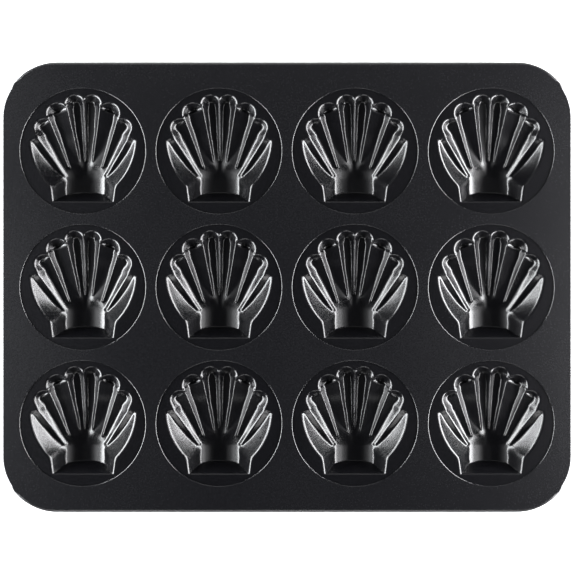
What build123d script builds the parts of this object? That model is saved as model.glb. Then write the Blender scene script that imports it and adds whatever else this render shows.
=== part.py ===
from build123d import *
import os
from math import sin, cos, tan, radians, hypot, sqrt

os.makedirs("parts", exist_ok=True)

# ---------------------------------------------------------------- dimensions
# All lengths in millimetres. X runs along the long side, Y towards the
# finger tips of the shells, Z up. The origin is at the centre of the
# footprint, on the surface that the twelve cups stand on.
PAN_L = 355.0            # long side over the rolled rim
PAN_W = 279.4            # short side over the rolled rim
PAN_CORNER_R = 35.0      # outer corner radius in plan
SHEET = 0.6              # steel sheet of the tray and of the cups

COLS, ROWS = 4, 3
PITCH = 84.4             # cup pitch, both ways

RING_R = 38.85           # radius of the punched holes in the tray
RING_EDGE_R = 0.35       # rounded upper edge of each hole
FLANGE_R = 41.2          # radius of each cup's flange, under the tray

CURL_R = 2.0             # outer radius of the rolled rim
CURL_SWEEP = 290.0       # how far the sheet goes round the wire, degrees
WIRE_R = 1.35            # rim wire, 0.05 clear of the roll all round

CUP_DEPTH = 15.0         # floor of a shell below its flange

Z_TOP = SHEET + CUP_DEPTH + SHEET    # upper face of the tray
Z_LAND = Z_TOP - SHEET               # upper face of a cup's flange
Z_UNDER = Z_LAND - SHEET             # lower face of a cup's flange

# Straight heel wall of a shell: its upper edge, and how far it leans in.
HEEL_Y = -31.4
HEEL_RUN = 7.0

# Flutes of the left half of a shell, in the cup's own plan: x, y, depth and
# floor radius at the finger tip, then the same at the palm end.
FLUTE_DRAFT = 25.0
FLUTES = [
    (-5.3, 29.3, 5.5, 4.9, -2.2, -10.5, 14.85, 4.7),
    (-16.2, 23.7, 5.6, 5.5, -5.7, -12.0, 14.65, 4.7),
    (-24.6, 14.3, 5.5, 4.7, -9.2, -16.5, 13.8, 4.3),
]

# Side flute: a conical outer wall, met by a steep inner flank.
SIDE_X, SIDE_Y, SIDE_R = 8.4, 8.0, 41.0     # axis and radius at the flange
SIDE_SLOPE = 53.0
CREST_A = (-28.5, 7.5, 0.0)                 # crest of the outermost ridge
CREST_B = (-13.4, -14.7, 8.6)
CREST_SLOPE = 66.0
SIDE_TIP = (-30.0, 8.1)                     # rounded off end of the flute
SIDE_TIP_TURN = 16.7
SIDE_TIP_SLOPE = 60.0

# Palm: a smooth trough with a dished end and two plane side walls.
PALM_Y = -14.5
TROUGH_R = 17.9
TROUGH_SINK = 0.25                          # flat worked into its bottom
CREASE_X, CREASE_DEPTH = 12.15, 10.5
WRIST_X = 19.8


# ------------------------------------------------------------------- cavity
def section_points(depth, r, grow, top):
    zc = Z_LAND - depth + r
    rr = r + grow
    d = radians(FLUTE_DRAFT)
    x, z = rr * cos(d), zc - rr * sin(d)
    return x, z, x + (top - z) * tan(d), zc - rr


def flute(x1, y1, d1, r1, x2, y2, d2, r2, grow, top):
    """A straight drafted channel, and the rounded end at its finger tip."""
    length = hypot(x2 - x1, y2 - y1)
    ux, uy = (x2 - x1) / length, (y2 - y1) / length
    ends = [(x1, y1, d1, r1), (x2, y2, d2, r2)]
    with BuildPart() as channel:
        for x, y, d, r in ends:
            plane = Plane(origin=(x, y, 0), x_dir=(-uy, ux, 0), z_dir=(ux, uy, 0))
            px, pz, tx, zb = section_points(d, r, grow, top)
            with BuildSketch(plane):
                with BuildLine():
                    Line((-tx, top), (-px, pz))
                    ThreePointArc((-px, pz), (0, zb), (px, pz))
                    Line((px, pz), (tx, top))
                    Line((tx, top), (-tx, top))
                make_face()
        loft(ruled=True)
    px, pz, tx, zb = section_points(d1, r1, grow, top)
    zc = Z_LAND - d1 + r1
    rr = r1 + grow
    mid = radians(-90 + 0.5 * (90 - FLUTE_DRAFT))
    with BuildPart() as nose:
        with BuildSketch(Plane(origin=(x1, y1, 0), x_dir=(1, 0, 0), z_dir=(0, -1, 0))):
            with BuildLine():
                Line((0, top), (0, zb))
                ThreePointArc((0, zb), (rr * cos(mid), zc + rr * sin(mid)), (px, pz))
                Line((px, pz), (tx, top))
                Line((tx, top), (0, top))
            make_face()
        revolve(axis=Axis((x1, y1, 0), (0, 0, 1)), revolution_arc=360)
    return [channel.part, nose.part]


def cut_plane(x, y, depth, out_dir, slope, grow):
    """Plane through a point, rising towards out_dir at the given slope.

    Its normal points up and inwards, to the side that is kept."""
    ox, oy = out_dir
    s, c = sin(radians(slope)), cos(radians(slope))
    n = Vector(-ox * s, -oy * s, c)
    p = Vector(x, y, Z_LAND - depth) - n * grow
    return Plane(origin=p, z_dir=n)


def side_flute(grow, top):
    """Outermost flute of the left half: cone wall, steep flank, flat floor."""
    floor = Z_LAND - CREASE_DEPTH - 0.2 - grow
    run = 1 / tan(radians(SIDE_SLOPE))
    r_land = SIDE_R + grow / sin(radians(SIDE_SLOPE))
    r_top = r_land + (top - Z_LAND) * run
    r_floor = r_land - (Z_LAND - floor) * run
    ax, ay, ad = CREST_A
    bx, by, bd = CREST_B
    length = hypot(bx - ax, by - ay)
    ux, uy = (bx - ax) / length, (by - ay) / length
    fall = (bd - ad) / length
    lean = tan(radians(CREST_SLOPE))
    # steep flank: depth grows along the crest, and outwards from it
    n = Vector(-(fall * ux + lean * uy), -(fall * uy - lean * ux), -1).normalized() * -1
    flank = Plane(origin=Vector(ax, ay, Z_LAND - ad) - n * grow, z_dir=n)
    t = radians(SIDE_TIP_TURN)
    tip = cut_plane(SIDE_TIP[0], SIDE_TIP[1], 0.0, (-sin(t), cos(t)), SIDE_TIP_SLOPE, grow)
    with BuildPart() as side:
        with BuildSketch(Plane(origin=(SIDE_X, SIDE_Y, 0), x_dir=(1, 0, 0), z_dir=(0, -1, 0))):
            with BuildLine():
                Polyline((0, top), (0, floor), (r_floor, floor), (r_top, top), close=True)
            make_face()
        revolve(axis=Axis((SIDE_X, SIDE_Y, 0), (0, 0, 1)), revolution_arc=360)
        split(bisect_by=flank, keep=Keep.TOP)
        split(bisect_by=tip, keep=Keep.TOP)
        split(bisect_by=Plane(origin=(0, -27, 0), z_dir=(0, 1, 0)), keep=Keep.TOP)
    return side.part


def palm(grow, top):
    zc = Z_LAND - CUP_DEPTH - TROUGH_SINK + TROUGH_R
    rr = TROUGH_R + grow
    floor = Z_LAND - CUP_DEPTH - grow
    xf = sqrt(rr * rr - (zc - floor) ** 2)
    xk = CREASE_X + grow * CREASE_X / TROUGH_R
    zk = zc - sqrt(rr * rr - xk * xk)
    wall = (WRIST_X - CREASE_X) / CREASE_DEPTH
    xt = WRIST_X + grow * sqrt(1 + wall * wall) + (top - Z_LAND) * wall
    xm = 0.5 * (xf + xk)
    zm = zc - sqrt(rr * rr - xm * xm)
    with BuildPart() as trough:
        with BuildSketch(Plane(origin=(0, PALM_Y, 0), x_dir=(1, 0, 0), z_dir=(0, -1, 0))):
            with BuildLine():
                Line((xf, floor), (-xf, floor))
                ThreePointArc((-xf, floor), (-xm, zm), (-xk, zk))
                Polyline((-xk, zk), (-xt, top), (xt, top), (xk, zk))
                ThreePointArc((xk, zk), (xm, zm), (xf, floor))
            make_face()
        extrude(amount=30)
    with BuildPart() as end:
        with BuildSketch(Plane(origin=(0, PALM_Y, 0), x_dir=(1, 0, 0), z_dir=(0, -1, 0))):
            with BuildLine():
                Polyline((0, top), (0, floor), (xf, floor))
                ThreePointArc((xf, floor), (xm, zm), (xk, zk))
                Polyline((xk, zk), (xk, top), (0, top))
            make_face()
        revolve(axis=Axis((0, PALM_Y, 0), (0, 0, 1)), revolution_arc=360)
    return [trough.part, end.part]


def shell_body(grow, top):
    """Solid of one shell, grown by `grow` on its walls and floor."""
    pieces = []
    for f in FLUTES:
        pieces += flute(*f, grow, top)
    side = side_flute(grow, top)
    with BuildPart() as left:
        for p in pieces:
            add(p)
        add(side)
        split(bisect_by=Plane.YZ, keep=Keep.BOTTOM)
    right = left.part.mirror(Plane.YZ)
    n = hypot(HEEL_RUN, CUP_DEPTH)
    normal = Vector(0, CUP_DEPTH / n, HEEL_RUN / n)
    heel = Plane(origin=Vector(0, HEEL_Y, Z_LAND) - normal * grow, z_dir=normal)
    middle = palm(grow, top)
    with BuildPart() as body:
        add(left.part)
        add(right)
        for p in middle:
            add(p)
        split(bisect_by=heel, keep=Keep.TOP)
    return body.part


cavity = shell_body(0.0, Z_LAND + 0.4)
outside = shell_body(SHEET, Z_LAND - 0.3)

# One pressed cup: a round flange with the shell hanging from it.
with BuildPart() as pressed_cup:
    with BuildSketch(Plane.XY.offset(Z_UNDER)):
        Circle(FLANGE_R)
    extrude(amount=SHEET)
    add(outside)
    add(cavity, mode=Mode.SUBTRACT)

# --------------------------------------------------------------------- tray
RIM_X = PAN_L / 2 - CURL_R           # centre line of the rolled rim
RIM_Y = PAN_W / 2 - CURL_R
RIM_R = PAN_CORNER_R - CURL_R
RIM_Z = Z_TOP - CURL_R


def rim_path(z):
    """Closed rounded rectangle that starts in the middle of the right side."""
    a, b, r = RIM_X, RIM_Y, RIM_R
    k = r * (1 - sqrt(0.5))
    with BuildLine() as path:
        Line((a, 0, z), (a, b - r, z))
        ThreePointArc((a, b - r, z), (a - k, b - k, z), (a - r, b, z))
        Line((a - r, b, z), (r - a, b, z))
        ThreePointArc((r - a, b, z), (k - a, b - k, z), (-a, b - r, z))
        Line((-a, b - r, z), (-a, r - b, z))
        ThreePointArc((-a, r - b, z), (k - a, k - b, z), (r - a, -b, z))
        Line((r - a, -b, z), (a - r, -b, z))
        ThreePointArc((a - r, -b, z), (a - k, k - b, z), (a, r - b, z))
        Line((a, r - b, z), (a, 0, z))
    return path.wire()


curl_path = rim_path(RIM_Z)

with BuildPart() as tray:
    with BuildSketch(Plane(origin=(RIM_X, 0, RIM_Z), x_dir=(1, 0, 0), z_dir=(0, -1, 0))):
        with BuildLine():
            outer = CenterArc((0, 0), CURL_R, 90, -CURL_SWEEP)
            inner = CenterArc((0, 0), CURL_R - SHEET, 90, -CURL_SWEEP)
            Line(outer @ 0, inner @ 0)
            Line(outer @ 1, inner @ 1)
        make_face()
    sweep(path=curl_path)
    with BuildSketch(Plane.XY.offset(Z_TOP - SHEET)):
        RectangleRounded(2 * RIM_X, 2 * RIM_Y, RIM_R)
    extrude(amount=SHEET)
    with BuildSketch(Plane.XY.offset(Z_TOP)):
        with GridLocations(PITCH, PITCH, COLS, ROWS):
            Circle(RING_R)
    extrude(amount=-SHEET, mode=Mode.SUBTRACT)
    hole_edges = tray.edges().filter_by(GeomType.CIRCLE).filter_by(
        lambda e: abs(e.radius - RING_R) < 0.01 and abs(e.center().Z - Z_TOP) < 0.01)
    fillet(hole_edges, radius=RING_EDGE_R)
tray.part.label = "tray"
export_step(tray.part, "parts/tray.step")

# Closed steel wire inside the rolled rim.
with BuildPart() as rim_wire:
    with BuildSketch(Plane(origin=(RIM_X, 0, RIM_Z), x_dir=(1, 0, 0), z_dir=(0, -1, 0))):
        Circle(WIRE_R)
    sweep(path=curl_path)
rim_wire.part.label = "rim_wire"
export_step(rim_wire.part, "parts/rim_wire.step")

# --------------------------------------------------------------------- cups
# Rows count from the far side, columns from the left.
for row in range(ROWS):
    for col in range(COLS):
        x = (col - (COLS - 1) / 2) * PITCH
        y = ((ROWS - 1) / 2 - row) * PITCH
        name = f"shell_cup_r{row + 1}c{col + 1}"
        with BuildPart() as shell_cup:
            with Locations((x, y, 0)):
                add(pressed_cup.part)
        shell_cup.part.label = name
        export_step(shell_cup.part, f"parts/{name}.step")
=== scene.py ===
import math

import bpy
import numpy as np
from mathutils import Matrix, Vector
from mathutils.geometry import delaunay_2d_cdt


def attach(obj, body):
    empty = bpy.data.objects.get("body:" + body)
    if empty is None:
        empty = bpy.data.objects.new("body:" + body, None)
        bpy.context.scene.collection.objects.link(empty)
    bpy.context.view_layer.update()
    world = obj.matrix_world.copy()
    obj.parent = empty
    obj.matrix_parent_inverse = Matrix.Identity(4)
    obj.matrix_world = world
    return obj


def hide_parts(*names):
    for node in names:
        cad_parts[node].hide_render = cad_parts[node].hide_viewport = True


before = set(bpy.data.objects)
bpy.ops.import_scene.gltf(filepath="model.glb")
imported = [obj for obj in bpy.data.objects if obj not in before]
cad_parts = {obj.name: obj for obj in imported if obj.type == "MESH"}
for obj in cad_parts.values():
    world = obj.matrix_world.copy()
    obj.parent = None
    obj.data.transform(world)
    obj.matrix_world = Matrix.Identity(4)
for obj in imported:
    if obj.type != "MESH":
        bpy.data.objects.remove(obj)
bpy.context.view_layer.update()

# ---------------------------------------------------------------- dimensions
# Millimetres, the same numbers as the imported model. Meshes are made in
# millimetres and scaled to metres at the very end.
PAN_L, PAN_W, PAN_CORNER_R = 355.0, 279.4, 35.0
SHEET = 0.6
COLS, ROWS, PITCH = 4, 3, 84.4
RING_R, RING_EDGE_R, FLANGE_R = 38.85, 0.5, 41.2
CURL_R, CURL_SWEEP = 2.0, 290.0
ROLL_FLAT, ROLL_FLAT_AT, ROLL_FLAT_HALF = 0.18, math.radians(35.0), math.radians(33.0)
DEPTH = 15.0
Z_TOP = 2 * SHEET + DEPTH
Z_LAND = Z_TOP - SHEET
HEEL_Y = -31.4
MM = 0.001

# ------------------------------------------------- shape of one pressed shell
# The shape is worked out in a frame that is stretched downwards, FLOOR deep,
# and is then pressed back to the real depth.
FLOOR = 19.5
# Left half of the shell in its own plan. Each finger: the centre of its round
# tip, the point on its axis where it runs out on the palm, tip radius at the
# land, slopes of its wall on the outer and on the inner side.
FINGERS = [
    ((-5.3, 29.3), (-2.2, -10.5), 5.65, 57.0, 60.0),
    ((-16.2, 23.7), (-5.7, -12.0), 6.3, 57.0, 60.0),
    ((-24.45, 14.6), (-9.2, -16.5), 5.5, 52.5, 60.0),
]
# Ribs between them: notch at the outline, end of the crest at the palm, depth
# of the crest on the way, its radius at both ends, slope of the outer flank,
# slopes of the inner flank on the way, fillets at the outer and inner foot.
RIBS = [
    ((-28.5, 8.2), (-14.1, -14.1), ([0, 0.11, 0.26, 0.53, 0.8, 1], [0, 2.3, 4.5, 8.0, 10.8, 13.2]),
     (0.4, 0.9), 24.0, (56.0, 58.0, 60.0), (0.8, 0.6), (4.5, 0.7)),
    ((-21.9, 20.9), (-11.1, -8.6), ([0, 0.08, 0.16, 0.3, 0.58, 1], [0, 2.3, 3.6, 5.6, 9.3, 13.4]),
     (0.2, 0.3), 14.0, (62.0, 64.0, 65.0), (2.4, 0.5), (1.4, 0.4)),
    ((-10.7, 28.6), (-4.6, -5.0), ([0, 0.08, 0.16, 0.3, 0.49, 0.73, 1], [0, 2.8, 4.2, 6.3, 9.6, 12.2, 15.8]),
     (0.15, 0.25), 12.0, (62.0, 64.0, 65.0), (1.4, 0.5), (0.8, 0.4)),
    ((0.0, 32.1), (0.0, -4.6), ([0, 0.08, 0.16, 0.3, 0.55, 0.77, 1], [0, 3.0, 4.8, 7.0, 10.5, 13.3, 16.6]),
     (0.15, 0.2), 64.5, (64.0, 64.5, 65.0), (0.8, 0.4), (0.8, 0.4)),
]
NOTCH_SLOPE, NOTCH_SHARE, NOSE = 60.0, 0.12, 1.2
# Past the notches the walls of a finger spread outward, so that the ribs take over.
WALL_RATE, WALL_SOFT, WALL_LEAD, WALL_FADE = 1.3, 0.8, 0.2, 0.6
WALL_TOP, WALL_EASE = 62.0, 4.0
# Fan floor by direction from the palm: rim of the dish, then half way and tip.
FAN_ANGLE = [0.0, 28.0, 49.5, 60.0, 75.0, 90.0]
FAN_RIM = [12.6, 11.3, 9.8, 8.9, 8.9, 9.1]
FAN_DROP = [4.0, 4.3, 3.9, 3.2, 1.8, 1.0]
TIP_ANGLE = [28.0, 49.5, 67.0, 83.0, 90.0]
TIP_RHO = [32.0, 33.5, 37.9, 41.5, 44.1, 44.4]
MID_DEPTH = [10.8, 12.0, 12.8, 13.3, 13.3]
TIP_DEPTH = [7.2, 7.6, 7.6, 7.6, 7.6]
# Long side wall: a cone whose slope eases inward, both by height in the plan.
SIDE_X, SIDE_Y, SIDE_R = 8.4, 8.0, 41.0
SIDE_AT = [-19.0, -14.0, -5.0, 5.0]
SIDE_TOP = [61.0, 59.5, 58.0, 58.0]
SIDE_LOW = [58.0, 53.5, 48.7, 47.0]
SIDE_TIP, SIDE_TIP_TURN, SIDE_TIP_SLOPE = (-29.5, 8.9), -8.0, 62.0
SIDE_FOOT, WALL_FOOT, WRIST_FOOT, LAND_EDGE = 1.2, 1.8, 3.2, 1.7
PALM_Y, TROUGH_R, TROUGH_SINK, PALM_RISE = -14.5, 19.8, 0.25, 1.3
WRIST_X, WRIST_TAPER, WRIST_SLOPE, HEEL_SLOPE = 19.8, 0.13, 63.3, 70.5
GRID_H, GRID_N = 0.15, 481


def tan_d(a):
    return math.tan(math.radians(a))


def soft_min(a, b, k):
    """The lower of two fields, joined by a fillet k deep."""
    h = np.maximum(k - np.abs(a - b), 0.0)
    return np.minimum(a, b) - h * h / (4 * k)


def soft_max(a, b, k):
    return -soft_min(-a, -b, k)


def blur(f, sigma):
    """Gaussian blur of a square field, sigma in millimetres."""
    s = sigma / GRID_H
    n = int(3 * s) + 1
    w = np.exp(-0.5 * (np.arange(-n, n + 1) / s) ** 2)
    w /= w.sum()
    for axis in (0, 1):
        pad = [(0, 0), (0, 0)]
        pad[axis] = (n, n)
        g = np.pad(f, pad, mode="edge")
        f = sum(
            w[i] * (g[i : i + f.shape[0], :] if axis == 0 else g[:, i : i + f.shape[1]])
            for i in range(2 * n + 1)
        )
    return f


def along(x, y, p, q):
    """Share of the way from p to q, held to 0..1, and distance from the segment."""
    dx, dy = q[0] - p[0], q[1] - p[1]
    t = ((x - p[0]) * dx + (y - p[1]) * dy) / (dx * dx + dy * dy)
    t = np.clip(t, 0.0, 1.0)
    return t, np.hypot(x - p[0] - t * dx, y - p[1] - t * dy)


def curve(t, knots, values):
    """Smooth curve through the knots that doesn't overshoot between them."""
    k, v = np.array(knots, float), np.array(values, float)
    h, d = np.diff(k), np.diff(v) / np.diff(k)
    m = np.empty(len(k))
    m[0], m[-1] = d[0], d[-1]
    w1, w2 = 2 * h[1:] + h[:-1], h[1:] + 2 * h[:-1]
    m[1:-1] = (w1 + w2) / (w1 / d[:-1] + w2 / d[1:])
    i = np.clip(np.searchsorted(k, t, side="right") - 1, 0, len(h) - 1)
    u = (t - k[i]) / h[i]
    return (v[i] * (1 + 2 * u) * (1 - u) ** 2 + h[i] * m[i] * u * (1 - u) ** 2
            + v[i + 1] * u * u * (3 - 2 * u) + h[i] * m[i + 1] * u * u * (u - 1))


def trough(x):
    """Depth of the smooth palm at a distance x from its middle line."""
    near = np.minimum(np.abs(x), 0.64 * TROUGH_R)
    z = FLOOR + TROUGH_SINK - TROUGH_R + np.sqrt(TROUGH_R**2 - near * near)
    return np.minimum(z - (np.abs(x) - near) * 0.833, FLOOR)


def shell_depth():
    """Depth below the land over a square grid, in millimetres."""
    ax = (np.arange(GRID_N) - (GRID_N - 1) / 2) * GRID_H
    gx, y = np.meshgrid(ax, ax)
    x = -np.abs(gx)

    # floor of the fan: a dish that runs from the palm out to the finger tips
    py = y - PALM_Y
    rho = np.hypot(x, py)
    phi = np.degrees(np.arctan2(py, -x))
    rim_rho = np.interp(phi, FAN_ANGLE, FAN_RIM)
    rim_drop = np.interp(phi, FAN_ANGLE, FAN_DROP)
    tip_rho = np.interp(phi, [0, 30, 49.5, 67, 83, 90], TIP_RHO)
    inner = FLOOR - rim_drop * np.minimum(rho / rim_rho, 1.0) ** 2
    s = np.clip((rho - rim_rho) / (tip_rho - rim_rho), 0.0, 1.0)
    at_rim, at_mid = FLOOR - rim_drop, np.interp(phi, TIP_ANGLE, MID_DEPTH)
    at_tip = np.interp(phi, TIP_ANGLE, TIP_DEPTH)
    outer = at_rim * (1 - s) * (1 - 2 * s) + 4 * at_mid * s * (1 - s) + at_tip * s * (2 * s - 1)
    fan = np.where(rho < rim_rho, inner, outer)
    floor = blur(np.where(py > 0, fan, trough(x)), 0.9)
    floor = floor - PALM_RISE * np.clip((-8.0 - y) / 16.0, 0.0, 1.6) ** 1.5

    # outside the outermost rib the side wall runs down to the rib's own flank
    p, q = RIBS[0][0], RIBS[0][1]
    thumb = math.hypot(q[0] - p[0], q[1] - p[1])
    ux, uy = (q[0] - p[0]) / thumb, (q[1] - p[1]) / thumb
    outside = (x - p[0]) * uy - (y - p[1]) * ux
    down = (x - p[0]) * ux + (y - p[1]) * uy
    share = np.clip(0.5 + outside / 0.6, 0.0, 1.0) * np.clip((thumb + 0.8 - down) / 2.2, 0.0, 1.0)
    share = share * share * (3 - 2 * share)
    floor = floor + (FLOOR - floor) * share

    # ribs: steep on the inner side, mild on the outer side except at the notch
    for n, (p, q, crest, r, out_slope, in_slope, out_foot, in_foot) in enumerate(RIBS):
        length = math.hypot(q[0] - p[0], q[1] - p[1])
        t, e = along(x, y, p, q)
        side = (x - p[0]) * (q[1] - p[1]) / length - (y - p[1]) * (q[0] - p[0]) / length
        past = ((x - q[0]) * (q[0] - p[0]) + (y - q[1]) * (q[1] - p[1])) / length
        share = np.clip(0.5 + side / (0.3 + 2 * e), 0.0, 1.0)
        k0, k1 = (in_foot[i] + (out_foot[i] - in_foot[i]) * share for i in (0, 1))
        share = share * np.clip(1 - (past + 0.3) / NOSE, 0.0, 1.0)
        slope = np.tan(np.radians(np.interp(t, [0.0, 0.35, 1.0], in_slope)))
        w = np.clip(t / NOTCH_SHARE, 0.0, 1.0) if n else np.ones(t.shape)
        mild = np.tan(np.radians(NOTCH_SLOPE + (out_slope - NOTCH_SLOPE) * w * w * (3 - 2 * w)))
        slope = slope + (mild - slope) * share
        a = (r[0] + (r[1] - r[0]) * t) * slope
        rib = curve(t, *crest) + slope * (np.sqrt(e * e + a * a) - a)
        if n == 0:  # the ridge rises to the land ahead of its notch
            rib = rib + 2.0 * np.minimum(down, 0.0) * np.clip(0.5 + side / 0.6, 0.0, 1.0)
        floor = soft_min(floor, rib, (k0 + (k1 - k0) * t) * np.interp(t, [0.0, 0.15], [0.3, 1.0]))

    # walls up to the outline
    u = SIDE_R - np.hypot(x - SIDE_X, y - SIDE_Y)
    s0 = np.tan(np.radians(np.interp(y, SIDE_AT, SIDE_TOP)))
    s1 = np.tan(np.radians(np.interp(y, SIDE_AT, SIDE_LOW)))
    v = np.clip(u, 0.0, 8.0)
    cone = np.where(u < 0, u * s0, s0 * v + (s1 - s0) * v * v / 16.0 + (u - v) * s1)
    turn = math.radians(SIDE_TIP_TURN)
    tip = -((x - SIDE_TIP[0]) * -math.sin(turn) + (y - SIDE_TIP[1]) * math.cos(turn))
    walls = soft_min(cone, tip * tan_d(SIDE_TIP_SLOPE), 1.6)
    reach = []
    for (p, q, *_) in RIBS:
        length = math.hypot(q[0] - p[0], q[1] - p[1])
        ux, uy = (q[0] - p[0]) / length, (q[1] - p[1]) / length
        reach.append(((x - p[0]) * ux + (y - p[1]) * uy, (x - p[0]) * uy - (y - p[1]) * ux))
    for n, (p, q, radius, out_slope, in_slope) in enumerate(FINGERS):
        t, e = along(x, y, p, q)
        length = math.hypot(q[0] - p[0], q[1] - p[1])
        side = (x - p[0]) * (q[1] - p[1]) / length - (y - p[1]) * (q[0] - p[0]) / length
        share = np.clip(0.5 + side / (0.6 + 2 * e), 0.0, 1.0)
        (past_out, side_out), (past_in, side_in) = reach[2 - n], reach[3 - n]
        g = past_in + (past_out - past_in) * share + WALL_LEAD
        grow = WALL_RATE * 0.5 * (np.sqrt(g * g + WALL_SOFT**2) + g)
        grow = grow * np.clip(1 - side_out / WALL_FADE, 0.0, 1.0) * np.clip(1 + side_in / WALL_FADE, 0.0, 1.0)
        slope = tan_d(in_slope) + (tan_d(out_slope) - tan_d(in_slope)) * share
        u, top = radius + grow - e, tan_d(WALL_TOP)
        v = np.clip(u, 0.0, WALL_EASE)
        finger = np.where(u < 0, u * top, top * v + (slope - top) * v * v / (2 * WALL_EASE) + (u - v) * slope)
        finger = np.where((outside > 0) | (down > thumb), -99.0, finger)
        walls = np.maximum(walls, finger)
    half = WRIST_X - WRIST_TAPER * np.clip(-22.5 - y, 0.0, 10.0)
    wrist = np.minimum((half - np.abs(x)) * tan_d(WRIST_SLOPE), (5.0 - y) * 2.0)
    walls = soft_max(walls, wrist, WRIST_FOOT)
    depth = soft_min(floor, walls, np.interp(y, [-4.0, 8.0], [SIDE_FOOT, WALL_FOOT]))
    depth = soft_min(depth, (y - HEEL_Y) * tan_d(HEEL_SLOPE), 0.5)
    depth = soft_max(depth, np.zeros_like(depth), LAND_EDGE)
    return ax, np.minimum(depth, FLOOR) * (DEPTH / FLOOR)


def under_surface(depth):
    """Lower face of the sheet: everywhere 0.6 below the upper one, square to it."""
    n = int(SHEET / GRID_H)
    out = depth + SHEET
    for i in range(-n, n + 1):
        for j in range(-n, n + 1):
            d2 = (i * i + j * j) * GRID_H**2
            if d2 <= SHEET**2 and (i or j):
                drop = math.sqrt(SHEET**2 - d2)
                out = np.maximum(out, np.roll(np.roll(depth, i, 0), j, 1) + drop)
    return np.minimum(blur(out, 0.12), DEPTH + SHEET)


class Field:
    """A grid field with smooth lookup of value and slope."""

    def __init__(self, ax, f):
        self.x0, self.h, self.f = ax[0], ax[1] - ax[0], f
        self.fy, self.fx = np.gradient(f, self.h)

    def _at(self, g, x, y):
        u = np.clip((x - self.x0) / self.h, 0, g.shape[1] - 1.001)
        v = np.clip((y - self.x0) / self.h, 0, g.shape[0] - 1.001)
        i, j = np.floor(v).astype(int), np.floor(u).astype(int)
        b, a = v - i, u - j
        return (g[i, j] * (1 - a) * (1 - b) + g[i, j + 1] * a * (1 - b)
                + g[i + 1, j] * (1 - a) * b + g[i + 1, j + 1] * a * b)

    def value(self, x, y):
        return self._at(self.f, x, y)

    def slope(self, x, y):
        return self._at(self.fx, x, y), self._at(self.fy, x, y)


ax, depth_grid = shell_depth()
depth_grid = blur(depth_grid, 0.12)
depth_grid = np.minimum(depth_grid, DEPTH)
top_field = Field(ax, depth_grid)
low_field = Field(ax, under_surface(depth_grid))


# --------------------------------------------------------------- cup topology
def cup_cells():
    """Balanced quadtree cells over the flange disc, small where the shell bends."""
    size = 90.0
    levels = 8
    h = ax[1] - ax[0]
    gyy, gyx = np.gradient(top_field.fy, h)
    gxy, gxx = np.gradient(top_field.fx, h)
    bend = np.sqrt(gxx**2 + gyy**2 + 2 * gxy**2)
    bend = blur(bend, 0.15)
    bend_field = Field(ax, bend)
    reach = abs(ax[0])

    def wants(cx, cy, s):
        r = math.hypot(cx, cy)
        if r - s * 0.71 > FLANGE_R:
            return False
        if abs(r - FLANGE_R) < s * 0.75 and s > 0.8:
            return True
        if s > 6:
            return True
        if abs(cx) > reach or abs(cy) > reach:
            return False
        n = max(2, int(s / 0.35) + 1)
        q = (np.arange(n) + 0.5) / n - 0.5
        qx, qy = np.meshgrid(cx + q * s, cy + q * s)
        b = bend_field.value(qx, qy).max()
        return b * s * s > 0.055 and s > 0.36

    leaves = {}
    todo = [(0, 0, 0)]
    while todo:
        lv, i, j = todo.pop()
        s = size / 2**lv
        cx, cy = -size / 2 + (i + 0.5) * s, -size / 2 + (j + 0.5) * s
        if lv < levels and wants(cx, cy, s):
            for a in (0, 1):
                for b in (0, 1):
                    todo.append((lv + 1, 2 * i + a, 2 * j + b))
        else:
            leaves[(lv, i, j)] = True

    def find(lv, i, j):
        while lv >= 0:
            if (lv, i, j) in leaves:
                return lv
            lv, i, j = lv - 1, i // 2, j // 2
        return None

    changed = True
    while changed:
        changed = False
        for (lv, i, j) in sorted(leaves, reverse=True):
            if (lv, i, j) not in leaves:
                continue
            for di, dj in ((1, 0), (-1, 0), (0, 1), (0, -1)):
                a, b = i + di, j + dj
                if not (0 <= a < 2**lv and 0 <= b < 2**lv):
                    continue
                got = find(lv, a, b)
                if got is not None and got < lv - 1:
                    a2, b2 = a >> (lv - got), b >> (lv - got)
                    del leaves[(got, a2, b2)]
                    for c in (0, 1):
                        for d in (0, 1):
                            leaves[(got + 1, 2 * a2 + c, 2 * b2 + d)] = True
                    changed = True
    return leaves, size, levels


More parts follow.
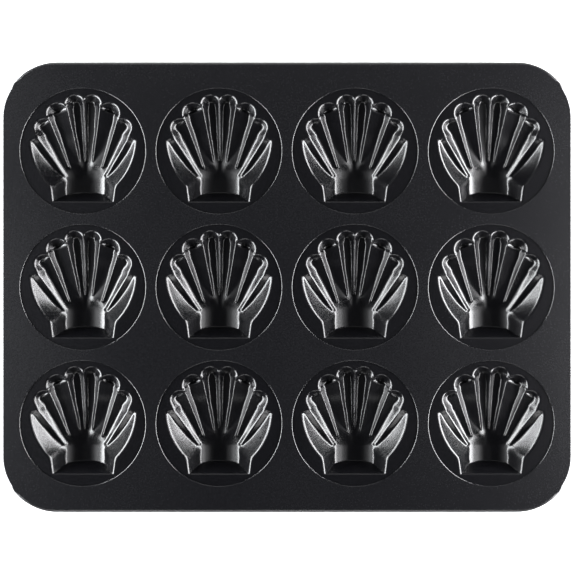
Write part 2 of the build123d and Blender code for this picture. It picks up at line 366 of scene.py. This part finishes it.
def cup_topology():
    """Points and triangles in plan: the flange disc with a true round edge."""
    leaves, size, levels = cup_cells()
    unit = 2**levels
    corners = {}
    inside = []
    for (lv, i, j) in leaves:
        s = size / 2**lv
        cx, cy = -size / 2 + (i + 0.5) * s, -size / 2 + (j + 0.5) * s
        if math.hypot(cx, cy) < FLANGE_R:
            inside.append((lv, i, j))
    inside.sort()
    for (lv, i, j) in inside:
        w = unit >> lv
        for a, b in ((0, 0), (1, 0), (1, 1), (0, 1)):
            corners[((i + a) * w, (j + b) * w)] = True
    points, index, tris = [], {}, []

    def vert(p):
        if p not in index:
            index[p] = len(points)
            points.append((-size / 2 + p[0] * size / unit, -size / 2 + p[1] * size / unit))
        return index[p]

    for (lv, i, j) in inside:
        w = unit >> lv
        x0, y0 = i * w, j * w
        ring = []
        for (a, b, c, d) in ((0, 0, 1, 0), (1, 0, 1, 1), (1, 1, 0, 1), (0, 1, 0, 0)):
            ring.append((x0 + a * w, y0 + b * w))
            mid = (x0 + (a + c) * w / 2, y0 + (b + d) * w / 2)
            if w > 1 and (int(mid[0]), int(mid[1])) in corners:
                ring.append((int(mid[0]), int(mid[1])))
        ids = [vert(p) for p in ring]
        if len(ids) == 4:
            if (i + j) % 2:
                tris += [(ids[0], ids[1], ids[2]), (ids[0], ids[2], ids[3])]
            else:
                tris += [(ids[1], ids[2], ids[3]), (ids[1], ids[3], ids[0])]
        else:
            mid = len(points)
            points.append((-size / 2 + (x0 + w / 2) * size / unit, -size / 2 + (y0 + w / 2) * size / unit))
            for k in range(len(ids)):
                tris.append((mid, ids[k], ids[(k + 1) % len(ids)]))
    pts = np.array(points)
    tri = np.array(tris)
    edges = {}
    for t in tris:
        for k in range(3):
            e = (t[k], t[(k + 1) % 3])
            if (e[1], e[0]) in edges:
                del edges[(e[1], e[0])]
            else:
                edges[e] = True
    follow = {a: b for a, b in edges}
    start = min(follow)
    loop, at = [start], follow[start]
    while at != start:
        loop.append(at)
        at = follow[at]
    for v in loop:
        r = math.hypot(*pts[v])
        pts[v] *= FLANGE_R / r
    # even out the points of the round edge, so that it has no sliver facets
    ang = np.unwrap([math.atan2(pts[v][1], pts[v][0]) for v in loop])
    for _ in range(12):
        ang = 0.5 * ang + 0.25 * (np.roll(ang, 1) - 2 * math.pi * (np.arange(len(ang)) == 0)
                                  + np.roll(ang, -1) + 2 * math.pi * (np.arange(len(ang)) == len(ang) - 1))
    for k, v in enumerate(loop):
        pts[v] = (FLANGE_R * math.cos(ang[k]), FLANGE_R * math.sin(ang[k]))
    return pts, tri, loop


def make_mesh(name, verts, faces, normals=None, sharp_faces=None):
    """Mesh in metres from millimetre points. normals: one per corner of each face."""
    me = bpy.data.meshes.new(name)
    me.from_pydata([tuple(v) for v in np.asarray(verts) * MM], [], [tuple(int(i) for i in f) for f in faces])
    me.update()
    me.polygons.foreach_set("use_smooth", [True] * len(me.polygons))
    if normals is not None:
        me.normals_split_custom_set([tuple(n) for n in normals])
    me.update()
    return me


def cup_mesh():
    pts, tri, loop = cup_topology()
    n = len(pts)
    x, y = pts[:, 0], pts[:, 1]
    d, u = top_field.value(x, y), low_field.value(x, y)
    far = np.hypot(x, y) > 38.0
    d[far], u[far] = 0.0, SHEET
    top = np.column_stack([x, y, Z_LAND - d])
    low = np.column_stack([x, y, Z_LAND - u])

    def unit(v):
        return v / np.linalg.norm(v, axis=1)[:, None]

    fx, fy = top_field.slope(x, y)
    fx[far] = fy[far] = 0.0
    n_top = unit(np.column_stack([fx, fy, np.ones(n)]))
    gx, gy = low_field.slope(x, y)
    gx[far] = gy[far] = 0.0
    n_low = -unit(np.column_stack([gx, gy, np.ones(n)]))
    verts = np.vstack([top, low])
    faces = [tuple(t) for t in tri] + [(t[0] + n, t[2] + n, t[1] + n) for t in tri]
    normals = [n_top[i] for t in tri for i in t] + [n_low[i] for t in tri for i in (t[0], t[2], t[1])]
    k = len(loop)
    for a in range(k):
        i, j = loop[a], loop[(a + 1) % k]
        faces.append((i, i + n, j + n, j))
        for v in (i, i, j, j):
            normals.append(np.array([pts[v][0], pts[v][1], 0.0]) / FLANGE_R)
    return verts, faces, normals


cup_verts, cup_faces, cup_normals = cup_mesh()

# ----------------------------------------------------------------- tray mesh
RIM_X, RIM_Y = PAN_L / 2 - CURL_R, PAN_W / 2 - CURL_R
RIM_R, RIM_Z = PAN_CORNER_R - CURL_R, Z_TOP - CURL_R
HOLES = [((c - (COLS - 1) / 2) * PITCH, ((ROWS - 1) / 2 - r) * PITCH) for r in range(ROWS) for c in range(COLS)]


def rim_samples():
    """Points round the rim's centre line with their outward directions."""
    out = []
    per = 36
    centres = [(RIM_X - RIM_R, RIM_Y - RIM_R, 0), (RIM_R - RIM_X, RIM_Y - RIM_R, 90),
               (RIM_R - RIM_X, RIM_R - RIM_Y, 180), (RIM_X - RIM_R, RIM_R - RIM_Y, 270)]
    for n, (cx, cy, a0) in enumerate(centres):
        for k in range(per + 1):
            a = math.radians(a0 + 90.0 * k / per)
            out.append((cx, cy, math.cos(a), math.sin(a)))
        nx, ny, _ = centres[(n + 1) % 4]
        steps = 24 if n % 2 == 0 else 16
        a = math.radians(a0 + 90.0)
        for k in range(1, steps):
            f = k / steps
            out.append((cx + (nx - cx) * f, cy + (ny - cy) * f, math.cos(a), math.sin(a)))
    return np.array(out)


def plate(outer, hole_r, z, up):
    """Flat face between the rim line and the twelve holes."""
    coords = [tuple(p) for p in outer]
    edges = [(i, (i + 1) % len(outer)) for i in range(len(outer))]
    holes = []
    seg = 192
    for (hx, hy) in HOLES:
        base = len(coords)
        for k in range(seg):
            a = 2 * math.pi * k / seg
            coords.append((hx + hole_r * math.cos(a), hy + hole_r * math.sin(a)))
        edges += [(base + k, base + (k + 1) % seg) for k in range(seg)]
        holes.append(range(base, base + seg))
    n = len(coords)
    # a few points between the holes keep the triangles well shaped
    for c in range(COLS + 1):
        for r in range(ROWS + 1):
            px, py = (c - COLS / 2) * PITCH, (ROWS / 2 - r) * PITCH
            if abs(px) < RIM_X - 4 and abs(py) < RIM_Y - 4:
                coords.append((px, py))
    got, _, tris, _, _, _ = delaunay_2d_cdt([Vector(c) for c in coords], edges, [], 0, 1e-6)
    pts = np.array([tuple(v) for v in got])
    keep = []
    for t in tris:
        c = pts[list(t)].mean(axis=0)
        if any(math.hypot(c[0] - hx, c[1] - hy) < hole_r for hx, hy in HOLES):
            continue
        a, b, d = pts[t[0]], pts[t[1]], pts[t[2]]
        area = (b[0] - a[0]) * (d[1] - a[1]) - (b[1] - a[1]) * (d[0] - a[0])
        keep.append(tuple(t) if (area > 0) == up else (t[0], t[2], t[1]))
    return np.column_stack([pts, np.full(len(pts), z)]), keep, n, holes


def tray_mesh():
    path = rim_samples()
    m = len(path)
    line = path[:, :2] + path[:, 2:] * RIM_R
    verts, faces, normals = [], [], []

    def add_points(p):
        base = sum(len(v) for v in verts)
        verts.append(np.asarray(p, float))
        return base

    top, tf, _, holes = plate(line, RING_R + RING_EDGE_R, Z_TOP, True)
    b_top = add_points(top)
    for t in tf:
        faces.append(tuple(b_top + i for i in t))
        normals += [(0, 0, 1)] * 3
    low, lf, _, low_holes = plate(line, RING_R, Z_TOP - SHEET, False)
    b_low = add_points(low)
    for t in lf:
        faces.append(tuple(b_low + i for i in t))
        normals += [(0, 0, -1)] * 3

    # rolled edge: rings of points round the pan, one for each step of the roll
    steps = 58
    arc = [math.radians(90 - CURL_SWEEP * k / steps) for k in range(steps + 1)]

    def roll(r, a):
        return np.column_stack([line + path[:, 2:] * (r * math.cos(a)), np.full(m, RIM_Z + r * math.sin(a))])

    def direction(a, k, sign):
        return (sign * math.cos(a) * path[k][2], sign * math.cos(a) * path[k][3], sign * math.sin(a))

    # its outer shoulder is a little flattened
    def shoulder(a):
        u = (math.pi / 2 - a - ROLL_FLAT_AT) / ROLL_FLAT_HALF
        if abs(u) >= 1:
            return CURL_R, a
        r = CURL_R - ROLL_FLAT * math.cos(math.pi * u / 2) ** 2
        fall = ROLL_FLAT * math.sin(math.pi * u) * math.pi / (2 * ROLL_FLAT_HALF)
        return r, a + math.atan(fall / r)

    lean = [shoulder(a) for a in arc]
    outer = [b_top] + [add_points(roll(lean[k][0], arc[k])) for k in range(1, steps + 1)]
    inner = [b_low] + [add_points(roll(CURL_R - SHEET, a)) for a in arc[1:]]
    for s in range(steps):
        for k in range(m):
            j = (k + 1) % m
            a, b = outer[s], outer[s + 1]
            faces.append((a + k, b + k, b + j, a + j))
            n0, n1 = lean[s][1], lean[s + 1][1]
            normals += [direction(n0, k, 1), direction(n1, k, 1), direction(n1, j, 1), direction(n0, j, 1)]
            a, b = inner[s], inner[s + 1]
            faces.append((a + k, a + j, b + j, b + k))
            normals += [direction(arc[s], k, -1), direction(arc[s], j, -1), direction(arc[s + 1], j, -1), direction(arc[s + 1], k, -1)]
    a_end = arc[-1]
    for k in range(m):
        j = (k + 1) % m
        faces.append((outer[-1] + k, inner[-1] + k, inner[-1] + j, outer[-1] + j))
        for i in (k, k, j, j):
            normals.append((math.sin(a_end) * path[i][2], math.sin(a_end) * path[i][3], -math.cos(a_end)))

    # rounded edge of each hole and its wall
    seg = 192
    curve = [(RING_R + RING_EDGE_R * (1 - math.sin(b)), Z_TOP - RING_EDGE_R * (1 - math.cos(b)), b)
             for b in np.linspace(0, math.pi / 2, 7)]
    for (hx, hy), th, lh in zip(HOLES, holes, low_holes):
        rings = [b_top + th[0]]
        for r, z, b in curve[1:]:
            rings.append(add_points([(hx + r * math.cos(2 * math.pi * k / seg), hy + r * math.sin(2 * math.pi * k / seg), z)
                                     for k in range(seg)]))
        rings.append(b_low + lh[0])
        tilt = [b for _, _, b in curve] + [math.pi / 2]
        for s in range(len(rings) - 1):
            for k in range(seg):
                j = (k + 1) % seg
                faces.append((rings[s] + k, rings[s] + j, rings[s + 1] + j, rings[s + 1] + k))
                for q, i in ((s, k), (s, j), (s + 1, j), (s + 1, k)):
                    a = 2 * math.pi * i / seg
                    normals.append((-math.cos(a) * math.sin(tilt[q]), -math.sin(a) * math.sin(tilt[q]), math.cos(tilt[q])))
    return np.vstack(verts), faces, normals


tray_verts, tray_faces, tray_normals = tray_mesh()


# ------------------------------------------------------------------ materials
def new_material(name):
    mat = bpy.data.materials.new(name)
    mat.use_nodes = True
    nt = mat.node_tree
    return mat, nt, nt.nodes, nt.links, nt.nodes["Principled BSDF"]


def coating(name, base, base_hi, rough_lo, rough_hi, grain_scale, bump, shine):
    """Sprayed non-stick coat: near-black with fine grain, flecks and cloudy gloss."""
    mat, nt, nodes, links, bsdf = new_material(name)
    coord = nodes.new("ShaderNodeTexCoord")
    place = nodes.new("ShaderNodeObjectInfo")
    shift = nodes.new("ShaderNodeVectorMath")
    shift.operation = "ADD"
    links.new(coord.outputs["Object"], shift.inputs[0])
    links.new(place.outputs["Location"], shift.inputs[1])

    grain = nodes.new("ShaderNodeTexNoise")
    grain.inputs["Scale"].default_value = grain_scale
    grain.inputs["Detail"].default_value = 4.0
    grain.inputs["Roughness"].default_value = 0.62
    links.new(shift.outputs[0], grain.inputs["Vector"])

    cloud = nodes.new("ShaderNodeTexNoise")
    cloud.inputs["Scale"].default_value = 14.0
    cloud.inputs["Detail"].default_value = 3.0
    links.new(shift.outputs[0], cloud.inputs["Vector"])

    fleck = nodes.new("ShaderNodeTexVoronoi")
    fleck.inputs["Scale"].default_value = 1500.0
    links.new(shift.outputs[0], fleck.inputs["Vector"])
    fleck_on = nodes.new("ShaderNodeMapRange")
    fleck_on.inputs["From Min"].default_value = 0.16
    fleck_on.inputs["From Max"].default_value = 0.02
    links.new(fleck.outputs["Distance"], fleck_on.inputs["Value"])

    tone = nodes.new("ShaderNodeValToRGB")
    tone.color_ramp.elements[0].position = 0.35
    tone.color_ramp.elements[0].color = (*base, 1)
    tone.color_ramp.elements[1].position = 0.68
    tone.color_ramp.elements[1].color = (*base_hi, 1)
    links.new(grain.outputs["Fac"], tone.inputs["Fac"])
    mix = nodes.new("ShaderNodeMix")
    mix.data_type = "RGBA"
    links.new(fleck_on.outputs["Result"], mix.inputs["Factor"])
    links.new(tone.outputs["Color"], mix.inputs[6])
    mix.inputs[7].default_value = (base_hi[0] * 2.6, base_hi[1] * 2.6, base_hi[2] * 2.7, 1)
    links.new(mix.outputs[2], bsdf.inputs["Base Color"])

    rough = nodes.new("ShaderNodeMapRange")
    rough.inputs["From Min"].default_value = 0.3
    rough.inputs["From Max"].default_value = 0.7
    rough.inputs["To Min"].default_value = rough_lo
    rough.inputs["To Max"].default_value = rough_hi
    blend = nodes.new("ShaderNodeMix")
    blend.data_type = "FLOAT"
    blend.inputs["Factor"].default_value = 0.35
    links.new(grain.outputs["Fac"], blend.inputs[2])
    links.new(cloud.outputs["Fac"], blend.inputs[3])
    links.new(blend.outputs[0], rough.inputs["Value"])
    links.new(rough.outputs["Result"], bsdf.inputs["Roughness"])

    bumps = nodes.new("ShaderNodeBump")
    bumps.inputs["Strength"].default_value = bump
    bumps.inputs["Distance"].default_value = 0.00008
    links.new(grain.outputs["Fac"], bumps.inputs["Height"])
    links.new(bumps.outputs["Normal"], bsdf.inputs["Normal"])
    bsdf.inputs["Specular IOR Level"].default_value = shine
    return mat


tray_mat = coating("tray_coat", (0.0014, 0.0014, 0.0020), (0.0036, 0.0036, 0.0047), 0.21, 0.30, 1100.0, 0.35, 0.92)
cup_mat = coating("cup_coat", (0.0011, 0.0011, 0.0015), (0.0032, 0.0032, 0.0041), 0.19, 0.28, 1100.0, 0.22, 0.56)


def wire_steel():
    mat, nt, nodes, links, bsdf = new_material("drawn_wire")
    coord = nodes.new("ShaderNodeTexCoord")
    stretch = nodes.new("ShaderNodeMapping")
    stretch.inputs["Scale"].default_value = (1.0, 1.0, 6.0)
    noise = nodes.new("ShaderNodeTexNoise")
    noise.inputs["Scale"].default_value = 700.0
    noise.inputs["Detail"].default_value = 5.0
    links.new(coord.outputs["Object"], stretch.inputs["Vector"])
    links.new(stretch.outputs["Vector"], noise.inputs["Vector"])
    tone = nodes.new("ShaderNodeValToRGB")
    tone.color_ramp.elements[0].color = (0.22, 0.22, 0.235, 1)
    tone.color_ramp.elements[1].color = (0.50, 0.50, 0.52, 1)
    links.new(noise.outputs["Fac"], tone.inputs["Fac"])
    links.new(tone.outputs["Color"], bsdf.inputs["Base Color"])
    rough = nodes.new("ShaderNodeMapRange")
    rough.inputs["To Min"].default_value = 0.28
    rough.inputs["To Max"].default_value = 0.5
    links.new(noise.outputs["Fac"], rough.inputs["Value"])
    links.new(rough.outputs["Result"], bsdf.inputs["Roughness"])
    bsdf.inputs["Metallic"].default_value = 1.0
    return mat


wire_mat = wire_steel()

# ----------------------------------------------------------------- the object
scene = bpy.context.scene


def piece(name, me, node, mat):
    me.materials.append(mat)
    ob = bpy.data.objects.new(name, me)
    scene.collection.objects.link(ob)
    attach(ob, "root")
    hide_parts(node)
    return ob


piece("tray_sheet", make_mesh("tray_sheet", tray_verts, tray_faces, tray_normals), "tray", tray_mat)

cup_me = make_mesh("pressed_shell", cup_verts, cup_faces, cup_normals)
for row in range(ROWS):
    for col in range(COLS):
        node = f"shell_cup_r{row + 1}c{col + 1}"
        hx, hy = HOLES[row * COLS + col]
        me = cup_me.copy()
        me.transform(Matrix.Translation((hx * MM, hy * MM, 0.0)))
        piece(f"pressed_{node}", me, node, cup_mat)

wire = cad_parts["rim_wire"]
wire.data.materials.clear()
wire.data.materials.append(wire_mat)

# ---------------------------------------------------------------- the studio
floor_me = bpy.data.meshes.new("studio_floor")
S = 6.0
floor_me.from_pydata([(-S, -S, 0), (S, -S, 0), (S, S, 0), (-S, S, 0)], [], [(0, 1, 2, 3)])
floor = bpy.data.objects.new("studio_floor", floor_me)
scene.collection.objects.link(floor)
fmat, fnt, fnodes, flinks, fb = new_material("floor_paper")
fb.inputs["Base Color"].default_value = (0.88, 0.88, 0.88, 1)
fb.inputs["Roughness"].default_value = 0.9
fb.inputs["Specular IOR Level"].default_value = 0.1
fb.inputs["Emission Color"].default_value = (1.0, 1.0, 1.0, 1)
fb.inputs["Emission Strength"].default_value = 0.85
floor_me.materials.append(fmat)

# far white wall, seen only by the camera
wall_me = bpy.data.meshes.new("studio_wall")
wv, wf = [], []
for k in range(48):
    a = 2 * math.pi * k / 48
    wv += [(5.9 * math.cos(a), 5.9 * math.sin(a), 0.0), (5.9 * math.cos(a), 5.9 * math.sin(a), 5.0)]
for k in range(48):
    j = (k + 1) % 48
    wf.append((2 * k, 2 * j, 2 * j + 1, 2 * k + 1))
wall_me.from_pydata(wv, [], wf)
wall = bpy.data.objects.new("studio_wall", wall_me)
scene.collection.objects.link(wall)
wmat = bpy.data.materials.new("wall_paper")
wmat.use_nodes = True
wmat.node_tree.nodes.clear()
em = wmat.node_tree.nodes.new("ShaderNodeEmission")
em.inputs["Strength"].default_value = 0.96
wo = wmat.node_tree.nodes.new("ShaderNodeOutputMaterial")
wmat.node_tree.links.new(em.outputs[0], wo.inputs["Surface"])
wall_me.materials.append(wmat)
wall.visible_diffuse = wall.visible_glossy = wall.visible_transmission = wall.visible_shadow = False

world = bpy.data.worlds.new("studio")
scene.world = world
world.use_nodes = True
bg = world.node_tree.nodes["Background"]
bg.inputs["Color"].default_value = (0.9, 0.93, 1.0, 1)
bg.inputs["Strength"].default_value = 0.052


def strip(name, where, aim, size_x, size_y, power, colour=(1, 1, 1)):
    light = bpy.data.lights.new(name, "AREA")
    light.shape = "RECTANGLE"
    light.size, light.size_y = size_x, size_y
    light.energy = power
    light.color = colour
    ob = bpy.data.objects.new(name, light)
    scene.collection.objects.link(ob)
    ob.location = where
    direction = Vector(aim) - Vector(where)
    ob.rotation_mode = "QUATERNION"
    ob.rotation_quaternion = direction.to_track_quat("-Z", "Y")
    ob.visible_camera = False
    return ob


# two long soft boxes, low at the left and the right
strip("box_left", (-0.75, 0.0, 0.32), (0, 0, 0.01), 1.2, 0.19, 18.5, (0.96, 0.98, 1.0))
strip("box_right", (0.66, 0.0, 0.28), (0, 0, 0.01), 1.1, 0.17, 16.0, (0.98, 0.98, 1.0))
strip("box_near", (0.0, -1.1, 0.44), (0, 0, 0.01), 0.9, 0.26, 3.4)
strip("sheen_right", (0.62, 0.0, 0.76), (0.1, 0, 0.01), 0.5, 0.5, 0.65, (0.98, 0.98, 1.0))
strip("glow_right", (0.76, 0.0, 0.70), (0.05, 0, 0.01), 0.5, 0.3, 1.5, (0.98, 0.98, 1.0))
strip("sheen_left", (-0.62, 0.0, 0.76), (-0.1, 0, 0.01), 0.5, 0.5, 0.35, (0.96, 0.98, 1.0))
strip("glow_left", (-0.76, 0.0, 0.70), (-0.05, 0, 0.01), 0.5, 0.3, 1.0, (0.96, 0.98, 1.0))
strip("sheen_far", (0.0, 0.55, 0.80), (0, 0.1, 0.01), 0.6, 0.2, 0.5)
strip("kick_left", (-0.31, 0.0, 0.05), (0, 0, 0.01), 0.5, 0.05, 1.9, (0.96, 0.98, 1.0))
strip("kick_right", (0.31, 0.0, 0.05), (0, 0, 0.01), 0.5, 0.05, 2.2, (0.98, 0.98, 1.0))
strip("box_far", (0.0, 1.1, 0.20), (0, 0, 0.01), 0.9, 0.22, 1.5)

cam_data = bpy.data.cameras.new("camera")
cam = bpy.data.objects.new("camera", cam_data)
scene.collection.objects.link(cam)
cam.location = (0.00062, -0.0005, Z_TOP * MM + 0.77)
cam.rotation_euler = (0, 0, 0)
cam_data.sensor_width = 36.0
cam_data.lens = 77.7
cam_data.clip_start = 0.05
cam_data.clip_end = 50.0
scene.camera = cam

scene.view_settings.view_transform = "Standard"
scene.view_settings.look = "None"
scene.view_settings.exposure = 0.0
scene.view_settings.gamma = 1.0
